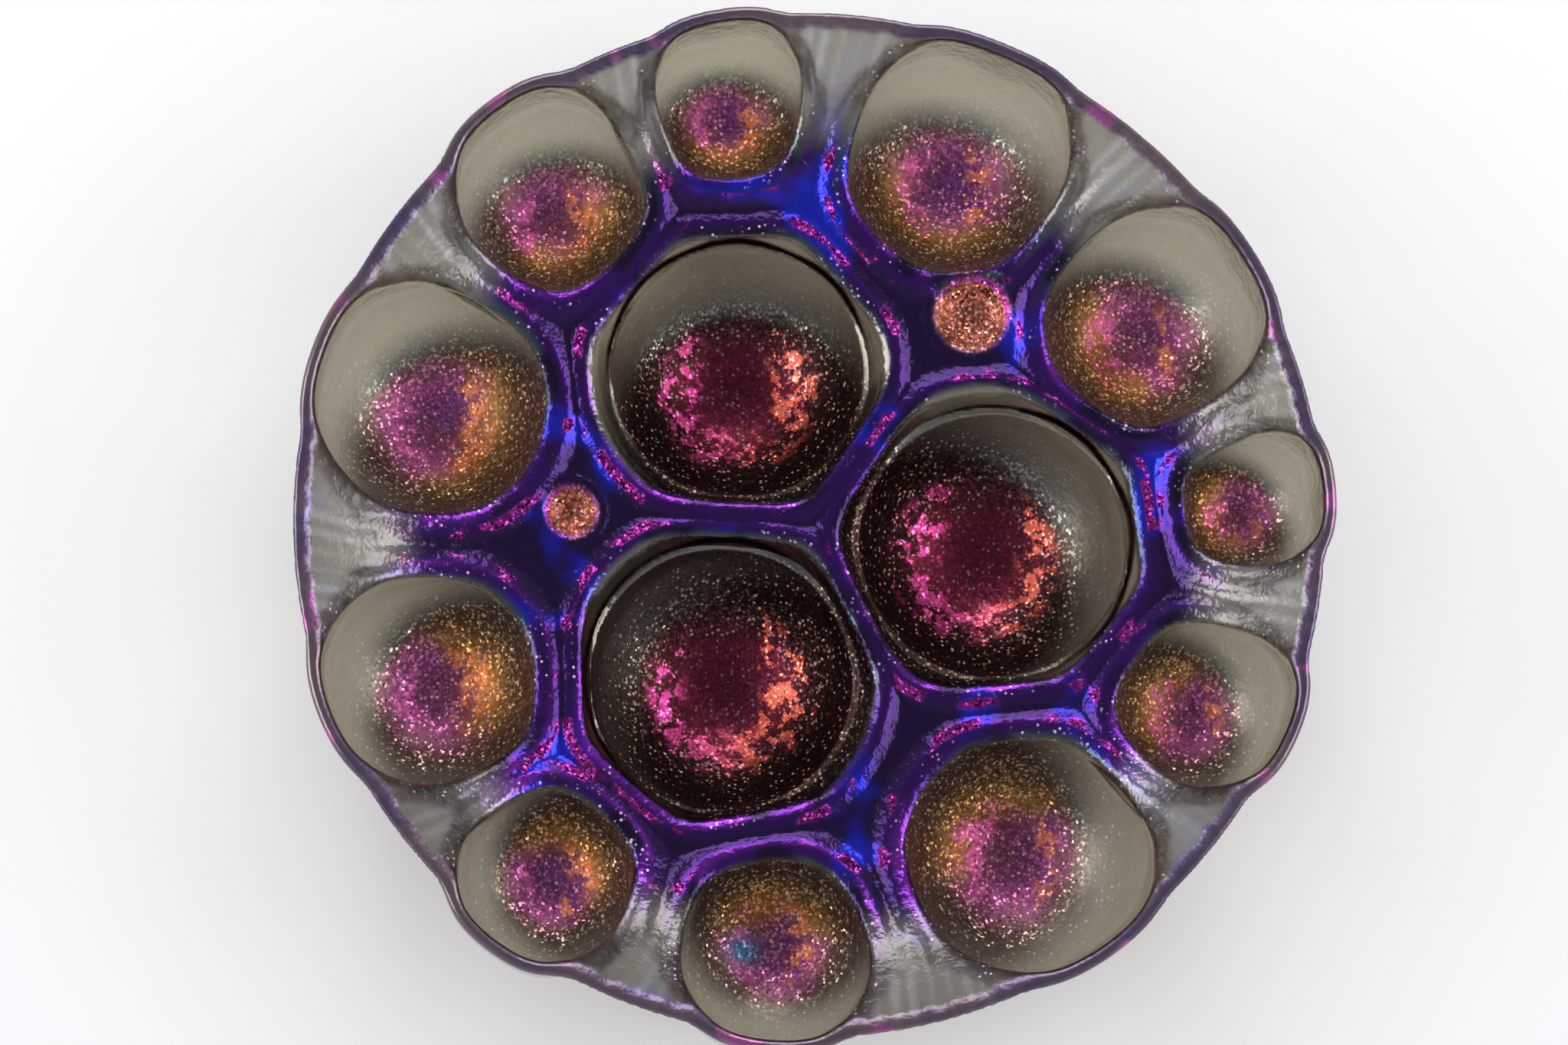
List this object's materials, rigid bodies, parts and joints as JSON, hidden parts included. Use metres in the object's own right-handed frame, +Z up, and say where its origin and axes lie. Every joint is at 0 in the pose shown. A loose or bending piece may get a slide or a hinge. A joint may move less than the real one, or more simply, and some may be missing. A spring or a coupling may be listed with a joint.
{
  "type": "glass bowl",
  "caption": "Shallow round carnival glass bowl pressed with deep round wells that scallop its rim, dimples between them, and flat-bottomed wells as feet.",
  "frame": {"origin": "on the table plane, under the middle of the bowl's box", "axes": "+Z up through the open mouth; +X and +Y across the mouth, +Y towards the side that carries two large floor wells' far edges"},
  "size_m": [0.278, 0.2808, 0.065],
  "materials": {
    "carnival_glass": "dark amethyst and blue iridescent film on clear smoky glass, finely stippled inside the wells"
  },
  "bodies": {
    "root": {"bowl": "carnival_glass"}
  },
  "joints": []
}
